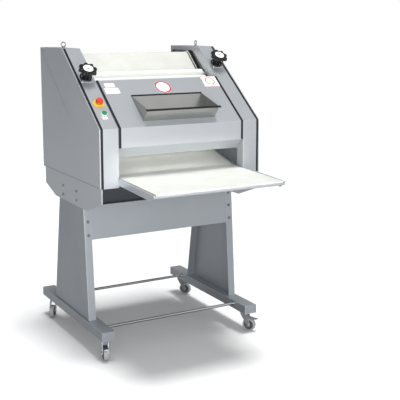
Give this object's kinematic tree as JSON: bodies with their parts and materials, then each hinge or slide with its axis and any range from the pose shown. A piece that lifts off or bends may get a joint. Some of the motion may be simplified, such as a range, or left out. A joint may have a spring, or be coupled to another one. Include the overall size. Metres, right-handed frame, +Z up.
{
  "type": "baguette moulder",
  "caption": "Floor-standing dough moulder: sheet-metal body with hinged front guard, hopper, dough belts, outfeed tray and a stand on swivel casters.",
  "frame": {"origin": "on the floor under the middle of the machine, its width and its depth with the outfeed tray halved", "axes": "+X to the machine's right as seen from the operator at the tray, +Y to its back, +Z up"},
  "size_m": [0.9818, 1.33, 1.65],
  "materials": {
    "body_sheet": "satin silver-grey sheet",
    "frame_plate": "satin plate",
    "stand_paint": "satin silver-grey paint",
    "stainless": "brushed stainless sheet",
    "fastener": "zinc-plated and oiled steel",
    "gasket": "black rubber strip",
    "belt": "warm white dough belt",
    "roller_metal": "turned",
    "roller_white": "white food plastic",
    "motor_paint": "painted casting",
    "black_plastic": "black moulded plastic",
    "yellow_plastic": "yellow plastic",
    "red_plastic": "red plastic",
    "green_plastic": "green plastic",
    "zinc": "zinc-plated pressing",
    "wheel_rubber": "grey rubber tyre on a black hub"
  },
  "bodies": {
    "machine": {"adjuster_flanges": "stainless", "base_side_left": "body_sheet", "base_side_right": "body_sheet", "belt_cheeks": "roller_white", "bottom_pan": "frame_plate", "caster_plates": "zinc", "column_panel_left": "body_sheet", "column_panel_right": "body_sheet", "cover_gaskets": "gasket", "crossbeam": "stand_paint", "drive_chains": "fastener", "estop_collar": "yellow_plastic", "eye_bolts": "fastener", "foot_left": "stand_paint", "foot_right": "stand_paint", "gearmotor": "motor_paint", "leg_left": "stand_paint", "leg_right": "stand_paint", "lower_belt": "belt", "mains_gland": "black_plastic", "rear_panel": "body_sheet", "shaft_bearings": "fastener", "side_cover_left": "body_sheet", "side_cover_right": "body_sheet", "side_frame_left": "frame_plate", "side_frame_right": "frame_plate", "stand_bolts": "fastener", "start_bezel": "stainless", "tie_rods": "stainless", "tray_frame": "frame_plate", "upper_belt": "belt"},
    "guard": {"front_guard": "body_sheet", "hopper": "stainless", "guard_gaskets": "gasket"},
    "handwheel_left": {"handwheel_left": "black_plastic"},
    "handwheel_right": {"handwheel_right": "black_plastic"},
    "carriage": {"sheeting_carriage": "fastener"},
    "sheeting_rear": {"sheeting_roller_rear": "roller_white"},
    "sheeting_front": {"sheeting_roller_front": "roller_white"},
    "lower_drive": {"lower_drive_roller": "roller_metal"},
    "upper_drive": {"upper_drive_roller": "roller_metal"},
    "upper_front": {"upper_front_roller": "roller_metal"},
    "upper_nose": {"upper_nose_roller": "roller_metal"},
    "upper_rear": {"upper_rear_roller": "roller_metal"},
    "guide_upper": {"guide_upper_roller": "roller_white"},
    "guide_lower": {"guide_lower_roller": "roller_white"},
    "motor_shaft": {"motor_sprocket": "fastener"},
    "pressure_board": {"pressure_board": "roller_white"},
    "estop_button": {"estop_button": "red_plastic"},
    "start_button": {"start_button": "green_plastic"},
    "fork_front_left": {"fork_front_left": "zinc"},
    "wheel_front_left": {"wheel_front_left": "wheel_rubber"},
    "fork_front_right": {"fork_front_right": "zinc"},
    "wheel_front_right": {"wheel_front_right": "wheel_rubber"},
    "fork_rear_left": {"fork_rear_left": "zinc"},
    "wheel_rear_left": {"wheel_rear_left": "wheel_rubber"},
    "fork_rear_right": {"fork_rear_right": "zinc"},
    "wheel_rear_right": {"wheel_rear_right": "wheel_rubber"},
    "pedal_front_left": {"brake_pedal_front_left": "black_plastic"},
    "pedal_front_right": {"brake_pedal_front_right": "black_plastic"}
  },
  "joints": [
    {"name": "guard_hinge", "type": "hinge", "parent": "machine", "child": "guard", "pos_m": [0, 0.0215, 1.43457], "axis": [-1, 0, 0], "range_deg": [0, 75]},
    {"name": "handwheel_turn_left", "type": "hinge", "parent": "machine", "child": "handwheel_left", "pos_m": [-0.418, 0.04262, 1.4661], "axis": [0, -0.6121, 0.7908], "range_deg": [0, 1800]},
    {"name": "handwheel_turn_right", "type": "hinge", "parent": "machine", "child": "handwheel_right", "pos_m": [0.418, 0.11063, 1.51874], "axis": [0, -0.6121, 0.7908], "range_deg": [0, 1800]},
    {"name": "carriage_slide", "type": "slide", "parent": "machine", "child": "carriage", "axis": [0, 1, 0], "range_m": [0, 0.015]},
    {"name": "board_slide", "type": "slide", "parent": "machine", "child": "pressure_board", "axis": [0, -0.2408, 0.9706], "range_m": [0, 0.012]},
    {"name": "lower_drive_spin", "type": "hinge", "parent": "machine", "child": "lower_drive", "pos_m": [0, 0.355, 1.057], "axis": [1, 0, 0], "continuous": true},
    {"name": "upper_drive_spin", "type": "hinge", "parent": "machine", "child": "upper_drive", "pos_m": [0, 0.357, 1.542], "axis": [1, 0, 0], "continuous": true},
    {"name": "upper_front_spin", "type": "hinge", "parent": "machine", "child": "upper_front", "pos_m": [0, 0.2025, 1.403], "axis": [1, 0, 0], "continuous": true},
    {"name": "upper_nose_spin", "type": "hinge", "parent": "machine", "child": "upper_nose", "pos_m": [0, 0.065, 1.113], "axis": [1, 0, 0], "continuous": true},
    {"name": "upper_rear_spin", "type": "hinge", "parent": "machine", "child": "upper_rear", "pos_m": [0, 0.335, 1.18], "axis": [1, 0, 0], "continuous": true},
    {"name": "motor_shaft_spin", "type": "hinge", "parent": "machine", "child": "motor_shaft", "pos_m": [0, 0.49, 1.012], "axis": [1, 0, 0], "continuous": true},
    {"name": "guide_upper_spin", "type": "hinge", "parent": "machine", "child": "guide_upper", "pos_m": [0, 0.1712, 1.46321], "axis": [1, 0, 0], "continuous": true},
    {"name": "guide_lower_spin", "type": "hinge", "parent": "machine", "child": "guide_lower", "pos_m": [0, 0.13007, 1.43138], "axis": [1, 0, 0], "continuous": true},
    {"name": "sheeting_front_spin", "type": "hinge", "parent": "machine", "child": "sheeting_front", "pos_m": [0, -0.181, 1.185], "axis": [1, 0, 0], "continuous": true},
    {"name": "sheeting_rear_spin", "type": "hinge", "parent": "carriage", "child": "sheeting_rear", "pos_m": [0, -0.105, 1.185], "axis": [1, 0, 0], "continuous": true},
    {"name": "estop_press", "type": "slide", "parent": "machine", "child": "estop_button", "axis": [0, 0.6121, -0.7908], "range_m": [0, 0.005]},
    {"name": "start_press", "type": "slide", "parent": "machine", "child": "start_button", "axis": [0, 0.6121, -0.7908], "range_m": [0, 0.003], "stiffness_N_per_m": 800, "springref_m": -0.001},
    {"name": "swivel_front_left", "type": "hinge", "parent": "machine", "child": "fork_front_left", "pos_m": [-0.4375, -0.191, 0.116], "axis": [0, 0, 1], "continuous": true},
    {"name": "roll_front_left", "type": "hinge", "parent": "fork_front_left", "child": "wheel_front_left", "pos_m": [-0.44475, -0.21805, 0.0375], "axis": [0.9659, -0.2588, 0], "continuous": true},
    {"name": "pedal_press_front_left", "type": "hinge", "parent": "fork_front_left", "child": "pedal_front_left", "pos_m": [-0.44371, -0.21418, 0.081], "axis": [0.9659, -0.2588, 0], "range_deg": [0, 10]},
    {"name": "swivel_front_right", "type": "hinge", "parent": "machine", "child": "fork_front_right", "pos_m": [0.4375, -0.191, 0.116], "axis": [0, 0, 1], "continuous": true},
    {"name": "roll_front_right", "type": "hinge", "parent": "fork_front_right", "child": "wheel_front_right", "pos_m": [0.45356, -0.21394, 0.0375], "axis": [0.8192, 0.5736, 0], "continuous": true},
    {"name": "pedal_press_front_right", "type": "hinge", "parent": "fork_front_right", "child": "pedal_front_right", "pos_m": [0.45127, -0.21066, 0.081], "axis": [0.8192, 0.5736, 0], "range_deg": [0, 10]},
    {"name": "swivel_rear_left", "type": "hinge", "parent": "machine", "child": "fork_rear_left", "pos_m": [-0.4375, 0.581, 0.116], "axis": [0, 0, 1], "continuous": true},
    {"name": "roll_rear_left", "type": "hinge", "parent": "fork_rear_left", "child": "wheel_rear_left", "pos_m": [-0.45396, 0.55835, 0.0375], "axis": [0.809, -0.5878, 0], "continuous": true},
    {"name": "swivel_rear_right", "type": "hinge", "parent": "machine", "child": "fork_rear_right", "pos_m": [0.4375, 0.581, 0.116], "axis": [0, 0, 1], "continuous": true},
    {"name": "roll_rear_right", "type": "hinge", "parent": "fork_rear_right", "child": "wheel_rear_right", "pos_m": [0.45396, 0.55835, 0.0375], "axis": [0.809, 0.5878, 0], "continuous": true}
  ],
  "couplings": [
    {"joint": "upper_drive_spin", "follows": "lower_drive_spin", "ratio": 1},
    {"joint": "upper_front_spin", "follows": "lower_drive_spin", "ratio": 1},
    {"joint": "upper_nose_spin", "follows": "lower_drive_spin", "ratio": 1},
    {"joint": "upper_rear_spin", "follows": "lower_drive_spin", "ratio": 1},
    {"joint": "motor_shaft_spin", "follows": "lower_drive_spin", "ratio": 1},
    {"joint": "guide_upper_spin", "follows": "lower_drive_spin", "ratio": -1.612},
    {"joint": "guide_lower_spin", "follows": "lower_drive_spin", "ratio": -1.612},
    {"joint": "sheeting_front_spin", "follows": "lower_drive_spin", "ratio": -1},
    {"joint": "sheeting_rear_spin", "follows": "lower_drive_spin", "ratio": 1},
    {"joint": "handwheel_turn_left", "follows": "carriage_slide", "rad_per_m": 2094.4},
    {"joint": "board_slide", "follows": "handwheel_turn_right", "m_per_rad": 0.00038197}
  ]
}
